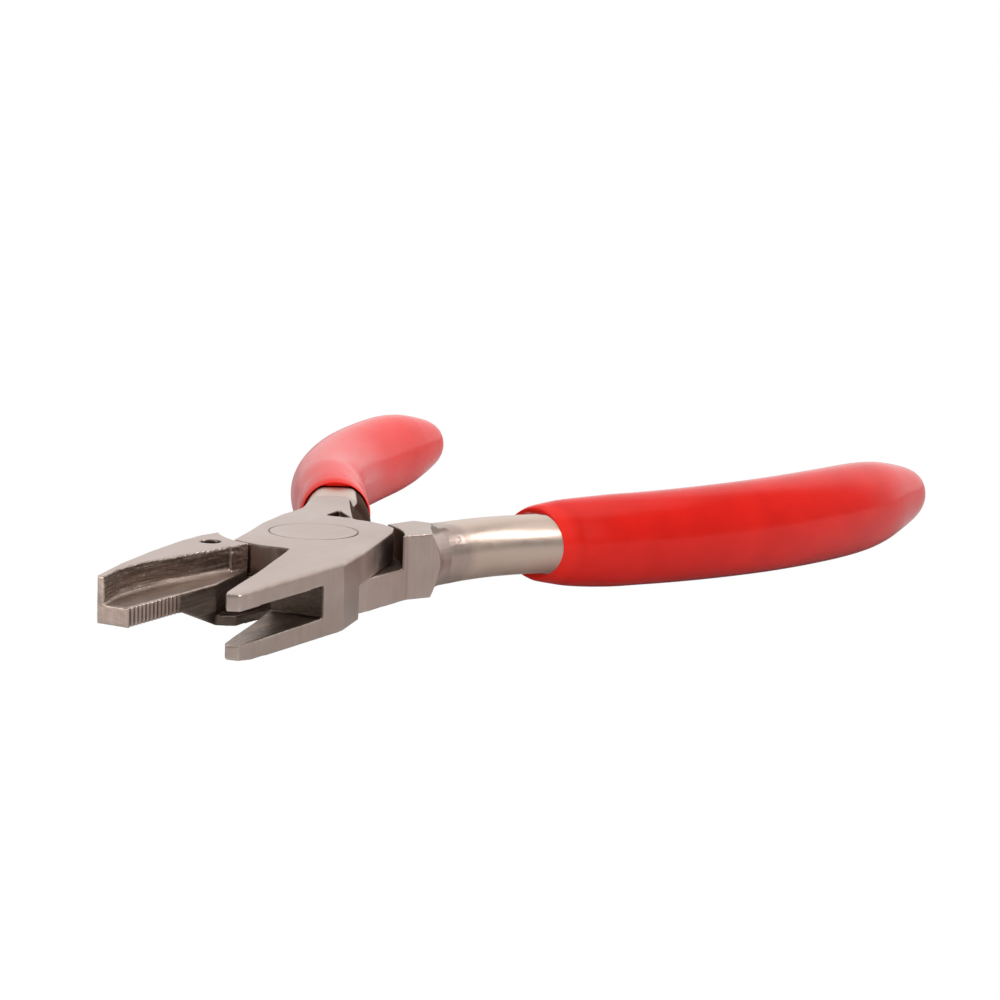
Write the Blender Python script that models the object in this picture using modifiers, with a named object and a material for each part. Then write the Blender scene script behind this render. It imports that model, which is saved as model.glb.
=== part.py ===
# Crimping pliers for jewellery making: two lap-jointed levers, a flush rivet and two dipped grips.
# Frame: origin on the rivet axis at the flat underside of the joint, +X along the pliers towards
# the jaws, +Z up along the rivet. Lengths below are in millimetres, angles in degrees.
import math

import bmesh
import bpy
from mathutils import Vector

MM = 0.001

# ---------------------------------------------------------------- driving dimensions
THICK = 9.0            # thickness of the joint and of the jaw roots
LAP_LOW = 4.50         # top of the lower lap plate
LAP_HIGH = 4.58        # underside of the upper lap plate (0.08 running gap)
PLATE_R = 12.75        # front edge of both lap plates
BACK_R = 11.85         # back edge of both lap plates
POCKET_FRONT_R = 13.05  # concave shoulder at each jaw root
POCKET_BACK_R = 12.45   # concave shoulder at each neck

RIVET_HEAD_R = 6.0
RIVET_SHANK_R = 3.9
RIVET_SINK = 2.2       # depth of each countersunk head
RIVET_GAP = 0.08

FORK_ANGLE = 18.3      # the fork's jaw face, as drawn, from the +X axis
FORK_TIP_X = 41.3
SLOT_END_X = 21.5      # blind end of the fork's slot
SLOT_LOW = 2.6
SLOT_HIGH = 6.75
FORK_TIP_RISE = 0.80   # the lower tine thins by this much at its tip
FLANK_CHAMFER = 0.50
EDGE_CHAMFER = 0.22

TONGUE_FACE_Y = 0.2    # serrated face of the L-shaped jaw
TONGUE_LOW = 3.0
TONGUE_HIGH = 5.5
L_TIP_X = 42.2
L_ROOT_X = 23.4        # where the relief under the tongue starts
L_RELIEF_X = 31.0      # where that relief reaches its full height
L_HOLE_X = 14.9
L_HOLE_Y = -6.7
L_HOLE_R = 1.45
TAB_TOP = 1.3          # low guide tab at the foot of the L-shaped jaw
TAB_POCKET_TOP = 1.6   # relief for that tab under the fork's lower tine
TAB_POCKET_R = 23.6

SERRATION_COUNT = 13
SERRATION_PITCH = 0.80
SERRATION_DEPTH = 0.32

NEAR_SHANK_R = 4.5
FAR_SHANK_R = 4.8
SHANK_FLAT = 4.2       # the shanks are ground flat at this height above and below the mid plane
TANG_END_R = 3.0
# the rounded inner side of the far shank, where it widens into the upper lap plate
FAR_ROOT = [(-9.0, -2.4), (-12.0, -4.15), (-16.0, -6.5), (-20.0, -8.95), (-24.0, -11.4), (-27.5, -13.65)]
GRIP_BORE_GAP = 0.12
NEAR_MOUTH_X = -32.9   # where each handle's centre line crosses the dip line
FAR_MOUTH_X = -34.6
NEAR_MOUTH_ANGLE = 172.0  # direction that the dip line faces away from, round +Z from +X
FAR_MOUTH_ANGLE = 208.0
NEAR_FLATTEN = 0.84    # width of each grip over its height
FAR_FLATTEN = 0.90

# centre lines of the two handles, (X, Y) from the neck to the end of the grip
NEAR_PATH = [(-10.0, 8.4), (-18.5, 10.2), (-26.8, 13.2), (-33.8, 17.9), (-41.5, 24.2), (-53.8, 31.4),
             (-69.4, 37.9), (-84.5, 42.0), (-97.2, 44.2), (-108.2, 45.4), (-118.0, 46.7)]
FAR_PATH = [(-10.0, -7.2), (-18.5, -8.9), (-27.0, -12.5), (-34.0, -17.2), (-41.0, -22.4), (-53.8, -31.0),
            (-69.4, -37.9), (-83.8, -41.9), (-95.2, -44.1), (-105.0, -45.1), (-115.0, -45.6)]
# half height of a grip at the dip line, and then at each fraction of its length
NEAR_LIP = [(0.00, 5.45), (0.025, 5.95), (0.06, 6.45)]
FAR_LIP = [(0.00, 5.9), (0.025, 6.1), (0.06, 6.35)]
GRIP_HALF_HEIGHT = [(0.13, 6.85), (0.20, 6.95), (0.40, 7.25), (0.60, 7.45), (0.74, 7.4), (0.82, 6.95),
                    (0.88, 6.1), (0.93, 5.15), (0.963, 4.4), (0.984, 3.7), (0.996, 2.55), (1.0, 1.3)]

# ---------------------------------------------------------------- scene set-up
for old in list(bpy.data.objects):
    bpy.data.objects.remove(old, do_unlink=True)

scene = bpy.context.scene
parts_col = bpy.data.collections.new("crimping_pliers")
cut_col = bpy.data.collections.new("cutters")
scene.collection.children.link(parts_col)
scene.collection.children.link(cut_col)


# ---------------------------------------------------------------- helpers
def polar(radius, angle):
    a = math.radians(angle)
    return (radius * math.cos(a), radius * math.sin(a))


def arc(radius, start, end, step=3.0):
    count = max(2, int(abs(end - start) / step) + 1)
    return [polar(radius, start + (end - start) * i / (count - 1)) for i in range(count)]


def link(obj, col=None):
    (col or cut_col).objects.link(obj)
    if col is None or col is cut_col:
        obj.hide_render = True
        obj.display_type = 'WIRE'
    return obj


def bake(obj):
    """Apply every modifier and keep the result as the object's own mesh."""
    depsgraph = bpy.context.evaluated_depsgraph_get()
    mesh = bpy.data.meshes.new_from_object(obj.evaluated_get(depsgraph))
    obj.modifiers.clear()
    obj.data = mesh
    return obj


def prism(name, outline, low, high, chamfer=None):
    """A flat outline in XY given thickness with Solidify, then chamfered along chosen edges."""
    mesh = bpy.data.meshes.new(name)
    bm = bmesh.new()
    verts = [bm.verts.new((x * MM, y * MM, low * MM)) for x, y in outline]
    face = bm.faces.new(verts)
    face.normal_update()
    if face.normal.z < 0:
        face.normal_flip()
    bm.to_mesh(mesh)
    bm.free()
    obj = link(bpy.data.objects.new(name, mesh))
    solid = obj.modifiers.new("thick", 'SOLIDIFY')
    solid.thickness = (high - low) * MM
    solid.offset = 1.0
    bake(obj)
    if chamfer:
        weight_edges(obj, chamfer)
        bevel = obj.modifiers.new("edge", 'BEVEL')
        bevel.limit_method = 'WEIGHT'
        bevel.width = FLANK_CHAMFER * MM
        bevel.segments = 1
        bevel.use_clamp_overlap = True
        bake(obj)
    return obj


def weight_edges(obj, rule):
    """Give each edge the bevel weight that rule(midpoint, direction) returns."""
    bm = bmesh.new()
    bm.from_mesh(obj.data)
    layer = bm.edges.layers.float.get("bevel_weight_edge")
    if layer is None:
        layer = bm.edges.layers.float.new("bevel_weight_edge")
    for edge in bm.edges:
        a, b = (v.co / MM for v in edge.verts)
        edge[layer] = rule((a + b) / 2.0, b - a)
    bm.to_mesh(obj.data)
    bm.free()


def side_prism(name, outline_xz, y0, y1):
    """A profile in XZ given a width along Y."""
    mesh = bpy.data.meshes.new(name)
    bm = bmesh.new()
    verts = [bm.verts.new((x * MM, y0 * MM, z * MM)) for x, z in outline_xz]
    face = bm.faces.new(verts)
    face.normal_update()
    if face.normal.y < 0:
        face.normal_flip()
    bm.to_mesh(mesh)
    bm.free()
    obj = link(bpy.data.objects.new(name, mesh))
    solid = obj.modifiers.new("thick", 'SOLIDIFY')
    solid.thickness = (y1 - y0) * MM
    solid.offset = 1.0
    return bake(obj)


def turned(name, profile, origin=(0.0, 0.0), steps=64):
    """A solid of revolution about a vertical axis. The profile (radius, z) runs top to bottom."""
    mesh = bpy.data.meshes.new(name)
    bm = bmesh.new()
    verts = [bm.verts.new((r * MM, 0.0, z * MM)) for r, z in profile]
    for a, b in zip(verts, verts[1:]):
        bm.edges.new((a, b))
    bm.to_mesh(mesh)
    bm.free()
    obj = link(bpy.data.objects.new(name, mesh))
    screw = obj.modifiers.new("turn", 'SCREW')
    screw.axis = 'Z'
    screw.angle = math.radians(360.0)
    screw.steps = steps
    screw.render_steps = steps
    screw.use_merge_vertices = True
    screw.merge_threshold = 0.00001
    screw.use_smooth_shade = False
    bake(obj)
    close_and_orient(obj)
    obj.location = (origin[0] * MM, origin[1] * MM, 0.0)
    return obj


def close_and_orient(obj):
    bm = bmesh.new()
    bm.from_mesh(obj.data)
    bmesh.ops.remove_doubles(bm, verts=bm.verts, dist=0.000005)
    bmesh.ops.recalc_face_normals(bm, faces=bm.faces)
    bm.to_mesh(obj.data)
    bm.free()


def boolean(obj, other, operation):
    mod = obj.modifiers.new(operation.lower(), 'BOOLEAN')
    mod.object = other
    mod.operation = operation
    mod.solver = 'EXACT'
    bpy.context.view_layer.update()
    return bake(obj)


def smooth_path(points, per_span):
    """Catmull-Rom samples through the control points, as (x, y, fraction of length)."""
    ext = [(2 * points[0][0] - points[1][0], 2 * points[0][1] - points[1][1])] + points
    ext = ext + [(2 * points[-1][0] - points[-2][0], 2 * points[-1][1] - points[-2][1])]
    out = []
    for i in range(1, len(ext) - 2):
        p0, p1, p2, p3 = (Vector(p) for p in ext[i - 1:i + 3])
        for k in range(per_span):
            t = k / per_span
            a = p1 * 2.0
            b = p2 - p0
            c = p0 * 2.0 - p1 * 5.0 + p2 * 4.0 - p3
            d = p1 * 3.0 - p0 - p2 * 3.0 + p3
            out.append((a + b * t + c * t * t + d * t * t * t) * 0.5)
    out.append(Vector(points[-1]))
    lengths = [0.0]
    for a, b in zip(out, out[1:]):
        lengths.append(lengths[-1] + (b - a).length)
    return [(p.x, p.y, s / lengths[-1]) for p, s in zip(out, lengths)]


def interpolate(table, t):
    if t <= table[0][0]:
        return table[0][1]
    for (t0, v0), (t1, v1) in zip(table, table[1:]):
        if t <= t1:
            return v0 + (v1 - v0) * (t - t0) / (t1 - t0)
    return table[-1][1]


def swept(name, samples, half_heights, flatten, sides, flat=None):
    """An elliptical tube along samples in the mid plane, if need be with flats above and below."""
    ring = bpy.data.curves.new(name + "_ring", 'CURVE')
    ring.dimensions = '2D'
    spline = ring.splines.new('POLY')
    spline.points.add(sides - 1)
    for i in range(sides):
        a = 2.0 * math.pi * (i + 0.5) / sides
        spline.points[i].co = (flatten * math.cos(a) * MM, math.sin(a) * MM, 0.0, 1.0)
    spline.use_cyclic_u = True
    ring_obj = link(bpy.data.objects.new(name + "_ring", ring))
    curve = bpy.data.curves.new(name + "_curve", 'CURVE')
    curve.dimensions = '3D'
    curve.twist_mode = 'Z_UP'
    curve.bevel_mode = 'OBJECT'
    curve.bevel_object = ring_obj
    curve.use_fill_caps = True
    spline = curve.splines.new('POLY')
    spline.points.add(len(samples) - 1)
    for point, (x, y), half in zip(spline.points, samples, half_heights):
        point.co = (x * MM, y * MM, THICK / 2.0 * MM, 1.0)
        point.radius = half
    curve_obj = link(bpy.data.objects.new(name + "_curve", curve))
    bpy.context.view_layer.update()
    depsgraph = bpy.context.evaluated_depsgraph_get()
    mesh = bpy.data.meshes.new_from_object(curve_obj.evaluated_get(depsgraph))
    if flat:
        for vert in mesh.vertices:
            above = vert.co.z / MM - THICK / 2.0
            vert.co.z = (THICK / 2.0 + max(-flat, min(flat, above))) * MM
    obj = link(bpy.data.objects.new(name, mesh))
    close_and_orient(obj)
    return obj


def material(name, colour, metallic, roughness):
    mat = bpy.data.materials.new(name)
    mat.use_nodes = True
    shader = mat.node_tree.nodes["Principled BSDF"]
    shader.inputs["Base Color"].default_value = (*colour, 1.0)
    shader.inputs["Metallic"].default_value = metallic
    shader.inputs["Roughness"].default_value = roughness
    mat.diffuse_color = (*colour, 1.0)
    return mat


def finish(obj, name, mat, parent=None, smooth=None):
    cut_col.objects.unlink(obj)
    parts_col.objects.link(obj)
    obj.hide_render = False
    obj.display_type = 'TEXTURED'
    obj.name = name
    obj.data.name = name
    obj.data.materials.clear()
    obj.data.materials.append(mat)
    close_and_orient(obj)
    if smooth:
        obj.data.shade_smooth()
        obj.data.set_sharp_from_angle(angle=math.radians(smooth))
    if parent:
        obj.parent = parent
    return obj


# ---------------------------------------------------------------- shared shapes
def pocket(name, low, high, near_corner=None):
    """The room that one lever leaves for the other's lap plate, between two concave shoulders."""
    if near_corner:
        outline = arc(POCKET_FRONT_R, -90.0, 54.0) + near_corner + arc(POCKET_BACK_R, 105.0, 270.0)
    else:
        outline = arc(POCKET_FRONT_R, -90.0, 90.0) + arc(POCKET_BACK_R, 90.0, 270.0)
    return prism(name, outline, low, high)


def rivet_bore(name, extra):
    r_head = RIVET_HEAD_R + extra
    r_pin = RIVET_SHANK_R + extra
    profile = [(0.0, THICK + 1.0), (r_head, THICK + 1.0), (r_head, THICK),
               (r_pin, THICK - RIVET_SINK - extra), (r_pin, RIVET_SINK + extra),
               (r_head, 0.0), (r_head, -1.0), (0.0, -1.0)]
    return turned(name, profile)


def neck_flare(name, path):
    """A turned shoulder along the first stretch of the handle, running down to the round shank."""
    stations = [(-9.0, 12.0), (-1.4, 8.3), (0.0, 7.0), (1.5, 5.6), (2.2, 5.2), (3.2, 4.9),
                (4.6, 4.6), (6.0, 4.3), (8.0, 4.0)]
    start = Vector(path[0])
    heading = (Vector(path[1]) - start).normalized()
    samples = [tuple(start + heading * s) for s, _ in stations]
    return swept(name, samples, [r for _, r in stations], 1.0, 40)


def shank(name, path, radius, mouth_x, start_x):
    """The steel rod from the neck into the grip, thinner where the grip hides it."""
    samples = smooth_path(path[:-1], 5)[:-1]
    cut = [(x, y) for x, y, _ in samples if -101.0 < x < start_x]
    radii = []
    for x, _ in cut:
        depth = (mouth_x - 6.0) - x
        fade = min(1.0, max(0.0, depth / 50.0))
        radii.append(radius * (1.0 - fade) + TANG_END_R * fade)
    radii[-1] = radii[-1] * 0.72
    return swept(name, cut, radii, 1.0, 36, SHANK_FLAT), cut, radii


def grip(name, path, mouth_x, mouth_angle, lip, flatten, tang_samples, tang_radii):
    """A dipped plastic grip: a flattened tube with a round end, cut off flat at the dip line."""
    samples = smooth_path(path, 7)
    inside = [s for s in samples if s[0] < mouth_x + 7.0]
    before = min((s for s in samples if s[0] > mouth_x), key=lambda s: s[0])
    after = max((s for s in samples if s[0] <= mouth_x), key=lambda s: s[0])
    blend = (mouth_x - before[0]) / (after[0] - before[0])
    mouth = Vector((mouth_x, before[1] + (after[1] - before[1]) * blend))
    first = before[2] + (after[2] - before[2]) * blend
    halves = []
    for _, _, t in inside:
        u = (t - first) / (1.0 - first)
        halves.append(interpolate(lip + GRIP_HALF_HEIGHT, u))
    points = [(x, y) for x, y, _ in inside]
    body = swept(name, points, halves, flatten, 36)
    ahead = Vector(polar(-16.0, mouth_angle))
    across = Vector((-ahead.y, ahead.x))
    trim = [mouth - across, mouth + across, mouth + across + ahead, mouth - across + ahead]
    boolean(body, prism(name + "_trim", trim, -20.0, 30.0), 'DIFFERENCE')
    bore = list(tang_samples)
    hole = swept(name + "_bore", bore, [r + GRIP_BORE_GAP for r in tang_radii], 1.0, 36,
                 SHANK_FLAT + GRIP_BORE_GAP)
    boolean(body, hole, 'DIFFERENCE')
    return body


# ---------------------------------------------------------------- upper lever (the fork)
V_POINT = polar(13.2, FORK_ANGLE)
fork_face = [V_POINT, polar(30.0, FORK_ANGLE), polar(38.0, FORK_ANGLE - 0.4)]
fork_tip = [(40.1, 12.95), (FORK_TIP_X, 13.9), (40.6, 15.35)]
fork_flank = [(27.1, 15.2), (16.3, 15.0), (5.4, 12.1), (-7.8, 8.1)]
upper_back = [(-9.3, 7.3)] + arc(BACK_R, 146.0, 182.0) + [(-12.2, -1.1)]
far_neck = [(-18.6, -5.25), (-25.6, -9.8), (-26.4, -12.5), (-25.0, -15.9), (-15.5, -11.65), (-12.4, -11.1)]
upper_left = [(-8.6, -10.8), (-1.0, -9.15), (4.7, -7.25)]
upper_front = arc(PLATE_R, -24.0, 11.0)
upper_outline = fork_face + fork_tip + fork_flank + upper_back + far_neck + upper_left + upper_front


def upper_chamfer(mid, direction):
    flat = abs(direction.z) < 0.01
    if not flat:
        return 0.0
    radius = math.hypot(mid.x, mid.y)
    outer = mid.y > 9.5 and mid.x > -5.0
    if outer and mid.x < 39.6:
        return 1.0 if mid.z > THICK / 2.0 else 0.5
    if radius < 13.4 and -13.0 < mid.x < 14.0 and not (mid.y < -6.0 and mid.x < 9.0):
        return 0.0
    return EDGE_CHAMFER / FLANK_CHAMFER


upper = prism("upper_lever", upper_outline, 0.0, THICK, upper_chamfer)
far_root = swept("far_root", FAR_ROOT, [FAR_SHANK_R] * len(FAR_ROOT), 1.0, 36, THICK / 2.0 - 0.02)
boolean(upper, far_root, 'UNION')
far_shank, far_tang, far_radii = shank("far_shank", FAR_PATH, FAR_SHANK_R, FAR_MOUTH_X, -12.0)
boolean(upper, far_shank, 'UNION')
# the hollow that grinding the plate's back edge leaves at the foot of the shank
hollow = [(-12.1, -5.5), (-16.8, -6.1), (-12.7, -1.6), (-12.2, -2.4)]
boolean(upper, prism("foot_hollow", hollow, THICK - 0.95, 12.0), 'DIFFERENCE')
# the near side of this pocket runs out through the flank, so the lower plate can pass
near_corner = [(9.3, 12.4), (9.9, 17.0), (-4.0, 17.0)]
boolean(upper, pocket("upper_pocket", -2.0, LAP_HIGH, near_corner), 'DIFFERENCE')

slot = side_prism("fork_slot", [(SLOT_END_X, SLOT_LOW), (46.0, SLOT_LOW), (46.0, SLOT_HIGH),
                                (SLOT_END_X, SLOT_HIGH)], -5.0, 25.0)
boolean(upper, slot, 'DIFFERENCE')
taper = side_prism("fork_taper", [(18.0, 0.0), (24.0, 0.14), (33.0, 0.24), (38.0, 0.42), (41.0, FORK_TIP_RISE),
                                  (46.0, 1.6), (46.0, -3.0), (18.0, -3.0)], -5.0, 25.0)
boolean(upper, taper, 'DIFFERENCE')
tab_room = [polar(12.0, 16.0)] + [polar(TAB_POCKET_R, a) for a in (14.0, 20.0, 26.0)]
tab_room = tab_room + [polar(22.6, 30.0), polar(17.9, 32.5), polar(12.0, 34.0)]
boolean(upper, prism("tab_room", tab_room, -2.0, TAB_POCKET_TOP), 'DIFFERENCE')

boolean(upper, rivet_bore("upper_bore", RIVET_GAP), 'DIFFERENCE')

# ---------------------------------------------------------------- lower lever (the L-shaped jaw)
L_outer = [(L_TIP_X, -4.55), (34.3, -6.9), (25.5, -8.75), (16.8, -10.1), (12.1, -10.3), (8.8, -9.75)]
lower_left = [(5.5, -9.3), (-2.0, -8.7), (-7.6, -8.2)]
lower_back = arc(BACK_R, 222.0, 158.0)
near_neck = [(-11.6, 5.1), (-16.3, 6.4), (-23.0, 7.6), (-23.0, 16.7), (-15.6, 15.1), (-9.0, 13.6)]
near_edge = [(-5.5, 11.75), (3.9, 11.45), (5.9, 11.25)]
lower_front = arc(PLATE_R, 62.0, 14.0)
tab_face = [(17.4, 2.75), (22.1, 2.4), (23.1, 0.9), (L_ROOT_X, TONGUE_FACE_Y), (L_TIP_X, TONGUE_FACE_Y)]
lower_outline = L_outer + lower_left + lower_back + near_neck + near_edge + lower_front + tab_face


def lower_chamfer(mid, direction):
    if abs(direction.z) > 0.01:
        return 0.0
    radius = math.hypot(mid.x, mid.y)
    if mid.x > 12.5 and mid.y < -4.0:
        return EDGE_CHAMFER / FLANK_CHAMFER
    if mid.x < -12.3 and mid.x > -22.9:
        return EDGE_CHAMFER / FLANK_CHAMFER
    if radius > 11.0 and mid.y > 10.0 and mid.z < THICK / 2.0:
        return EDGE_CHAMFER / FLANK_CHAMFER
    return 0.0


lower = prism("lower_lever", lower_outline, 0.0, THICK, lower_chamfer)
boolean(lower, pocket("lower_pocket", LAP_LOW, 12.0), 'DIFFERENCE')

near_block = prism("near_block_cut", [(-8.8, 22.0), (-8.8, 13.75), (-12.4, 11.5), (-16.2, 9.3),
                                      (-16.4, 4.0), (-30.0, 4.0), (-30.0, 22.0)], -2.0, 12.0)
boolean(near_block, neck_flare("near_flare", NEAR_PATH), 'DIFFERENCE')
boolean(lower, near_block, 'DIFFERENCE')

# clear the jaw face above the tab, back to the line that meets the joint
root_cut = [(L_ROOT_X, TONGUE_FACE_Y), (24.2, 6.0), (11.6, 6.0)] + arc(PLATE_R, 22.0, -9.0)
root_cut = root_cut + [(13.3, -2.1), (17.9, -1.0)]
boolean(lower, prism("root_cut", root_cut, TAB_TOP, 12.0), 'DIFFERENCE')
# the deep milled step that leaves a thin wall behind the tongue
wall_cut = [(44.0, -2.9), (L_TIP_X, -3.45), (39.6, -4.25), (37.4, -4.9), (34.5, -5.15), (30.7, -4.95),
            (24.1, -3.85), (16.2, -2.75), (16.2, -2.4), (13.0, -2.15), (12.6, 1.0), (12.6, 6.0), (44.0, 6.0)]
boolean(lower, prism("wall_cut", wall_cut, TONGUE_HIGH, 12.0), 'DIFFERENCE')
relief = side_prism("tongue_relief", [(L_ROOT_X, 0.0), (L_RELIEF_X, TONGUE_LOW), (46.0, TONGUE_LOW),
                                      (46.0, -3.0), (L_ROOT_X, -3.0)], -20.0, 10.0)
for vert in relief.data.vertices:
    vert.co.x += 0.72 * (vert.co.y - TONGUE_FACE_Y * MM)
boolean(lower, relief, 'DIFFERENCE')
hole = turned("jaw_hole", [(0.0, 12.0), (L_HOLE_R, 12.0), (L_HOLE_R, -3.0), (0.0, -3.0)],
              (L_HOLE_X, L_HOLE_Y), 40)
boolean(lower, hole, 'DIFFERENCE')

# serrations: upright V grooves across the front half of the tongue's face
teeth = [(L_TIP_X + 2.0, TONGUE_FACE_Y + 2.0), (L_TIP_X - 0.35, TONGUE_FACE_Y + 2.0)]
for i in range(SERRATION_COUNT):
    x = L_TIP_X - 0.35 - i * SERRATION_PITCH
    teeth.append((x, TONGUE_FACE_Y + 0.02))
    teeth.append((x - SERRATION_PITCH * 0.5, TONGUE_FACE_Y - SERRATION_DEPTH))
teeth.append((L_TIP_X - 0.35 - SERRATION_COUNT * SERRATION_PITCH, TONGUE_FACE_Y + 0.02))
teeth.append((L_TIP_X - 0.35 - SERRATION_COUNT * SERRATION_PITCH, TONGUE_FACE_Y + 2.0))
teeth = teeth[1:]
boolean(lower, prism("teeth", teeth, TONGUE_LOW - 1.0, TONGUE_HIGH + 1.0), 'DIFFERENCE')

near_shank, near_tang, near_radii = shank("near_shank", NEAR_PATH, NEAR_SHANK_R, NEAR_MOUTH_X, -14.6)
boolean(lower, near_shank, 'UNION')
boolean(lower, rivet_bore("lower_bore", RIVET_GAP), 'DIFFERENCE')

# ---------------------------------------------------------------- rivet and grips
rivet = turned("rivet", [(0.0, THICK), (RIVET_HEAD_R, THICK), (RIVET_SHANK_R, THICK - RIVET_SINK),
                         (RIVET_SHANK_R, RIVET_SINK), (RIVET_HEAD_R, 0.0), (0.0, 0.0)])
near_grip = grip("near_grip", NEAR_PATH, NEAR_MOUTH_X, NEAR_MOUTH_ANGLE, NEAR_LIP, NEAR_FLATTEN,
                 near_tang, near_radii)
far_grip = grip("far_grip", FAR_PATH, FAR_MOUTH_X, FAR_MOUTH_ANGLE, FAR_LIP, FAR_FLATTEN,
                far_tang, far_radii)

# ---------------------------------------------------------------- assembly
steel_low = material("steel_lower", (0.56, 0.52, 0.49), 1.0, 0.38)
steel_up = material("steel_upper", (0.58, 0.54, 0.51), 1.0, 0.36)
steel_pin = material("steel_rivet", (0.60, 0.56, 0.53), 1.0, 0.34)
pvc_near = material("pvc_near", (0.72, 0.02, 0.015), 0.0, 0.22)
pvc_far = material("pvc_far", (0.72, 0.025, 0.02), 0.0, 0.24)

root = bpy.data.objects.new("pliers_root", None)
parts_col.objects.link(root)
joint = bpy.data.objects.new("rivet_axis", None)
parts_col.objects.link(joint)
joint.parent = root

finish(lower, "lower_lever", steel_low, root, 32.0)
finish(rivet, "rivet", steel_pin, root, 32.0)
finish(near_grip, "near_grip", pvc_near, root, 45.0)
finish(upper, "upper_lever", steel_up, joint, 32.0)
finish(far_grip, "far_grip", pvc_far, joint, 45.0)
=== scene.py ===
# Crimping pliers: finer shapes, materials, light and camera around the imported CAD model.
# Scene units are metres. The shapes below are worked out in millimetres and scaled by MM at the end.
# X runs from the rivet towards the jaws, Y towards the near handle's side, Z up along the rivet.
import math
import bmesh
import bpy
import numpy as np
from mathutils import Matrix, Vector


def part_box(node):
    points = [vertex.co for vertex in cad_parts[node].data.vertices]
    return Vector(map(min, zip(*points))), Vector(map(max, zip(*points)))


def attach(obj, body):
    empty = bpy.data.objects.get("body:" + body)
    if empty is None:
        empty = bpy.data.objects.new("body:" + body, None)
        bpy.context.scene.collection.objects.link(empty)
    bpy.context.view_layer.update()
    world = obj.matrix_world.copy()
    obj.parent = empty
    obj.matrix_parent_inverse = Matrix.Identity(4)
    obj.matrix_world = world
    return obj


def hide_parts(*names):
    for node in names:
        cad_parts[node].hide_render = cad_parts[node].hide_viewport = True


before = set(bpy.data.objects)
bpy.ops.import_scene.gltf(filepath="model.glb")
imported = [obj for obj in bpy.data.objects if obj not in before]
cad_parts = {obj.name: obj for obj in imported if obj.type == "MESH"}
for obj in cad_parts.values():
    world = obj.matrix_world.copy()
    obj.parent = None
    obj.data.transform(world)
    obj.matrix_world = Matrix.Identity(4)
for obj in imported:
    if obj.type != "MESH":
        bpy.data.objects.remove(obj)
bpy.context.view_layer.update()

MM = 0.001
scene = bpy.context.scene
THICK = 9.0                          # the joint's thickness
MID = THICK / 2.0
FLOOR_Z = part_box("near_grip")[0].z   # the grips are the lowest point of the tool

# ---------------------------------------------------------------- camera
LENS = 86.4                          # millimetres, on a sensor 36 mm wide
CAMERA_AT = Vector((274.6, 171.7, 68.1)) * MM
CAMERA_RIGHT = Vector((-0.46738, 0.88328, 0.03693))
CAMERA_UP = Vector((-0.12834, -0.10912, 0.98571))

camera_data = bpy.data.cameras.new("camera")
camera = bpy.data.objects.new("camera", camera_data)
scene.collection.objects.link(camera)
back = CAMERA_RIGHT.cross(CAMERA_UP).normalized()
camera.matrix_world = Matrix.Translation(CAMERA_AT) @ Matrix(
    (CAMERA_RIGHT, CAMERA_UP, back)).transposed().to_4x4()
camera_data.lens = LENS
camera_data.sensor_width = 36.0
camera_data.clip_start = 0.01
camera_data.clip_end = 50.0
scene.camera = camera


# ---------------------------------------------------------------- numeric helpers
def lattice(cell, seed):
    """A repeatable random number from 0 to 1 at each whole-number cell."""
    h = cell[:, 0] * 374761393 + cell[:, 1] * 668265263 + cell[:, 2] * 2147483647 + seed * 1274126177
    h = (h ^ (h >> 13)) * 1274126177
    h = h ^ (h >> 16)
    return (h & 65535) / 65535.0


def noise3(points, scale, seed=1):
    """Smooth value noise from -1 to 1; scale is cells per millimetre along each axis."""
    p = points * np.asarray(scale) + 1000.0
    base = np.floor(p).astype(np.int64)
    f = p - base
    f = f * f * (3.0 - 2.0 * f)
    total = np.zeros(len(p))
    for dx in (0, 1):
        for dy in (0, 1):
            for dz in (0, 1):
                w = (f[:, 0] if dx else 1.0 - f[:, 0]) * (f[:, 1] if dy else 1.0 - f[:, 1])
                w = w * (f[:, 2] if dz else 1.0 - f[:, 2])
                total += w * lattice(base + np.array((dx, dy, dz)), seed)
    return total * 2.0 - 1.0


def fade(value, low, high):
    """0 below low, 1 above high, smooth between; low may be the larger number."""
    t = np.clip((value - low) / (high - low), 0.0, 1.0)
    return t * t * (3.0 - 2.0 * t)


def catmull(points, per_span):
    """Samples of a Catmull-Rom curve through points of any dimension."""
    pts = [np.asarray(p, float) for p in points]
    pts = [2 * pts[0] - pts[1]] + pts + [2 * pts[-1] - pts[-2]]
    out = []
    for p0, p1, p2, p3 in zip(pts, pts[1:], pts[2:], pts[3:]):
        for k in range(per_span):
            t = k / per_span
            out.append(0.5 * (2 * p1 + (p2 - p0) * t + (2 * p0 - 5 * p1 + 4 * p2 - p3) * t * t
                              + (3 * p1 - p0 - 3 * p2 + p3) * t ** 3))
    out.append(pts[-2])
    return np.array(out)


def mesh_object(name, points, faces):
    """A new smooth-shaded mesh from points in millimetres."""
    mesh = bpy.data.meshes.new(name)
    mesh.from_pydata([tuple(p) for p in np.asarray(points) * MM], [], faces)
    bm = bmesh.new()
    bm.from_mesh(mesh)
    bmesh.ops.recalc_face_normals(bm, faces=bm.faces)
    bm.to_mesh(mesh)
    bm.free()
    mesh.shade_smooth()
    obj = bpy.data.objects.new(name, mesh)
    scene.collection.objects.link(obj)
    return obj


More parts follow.
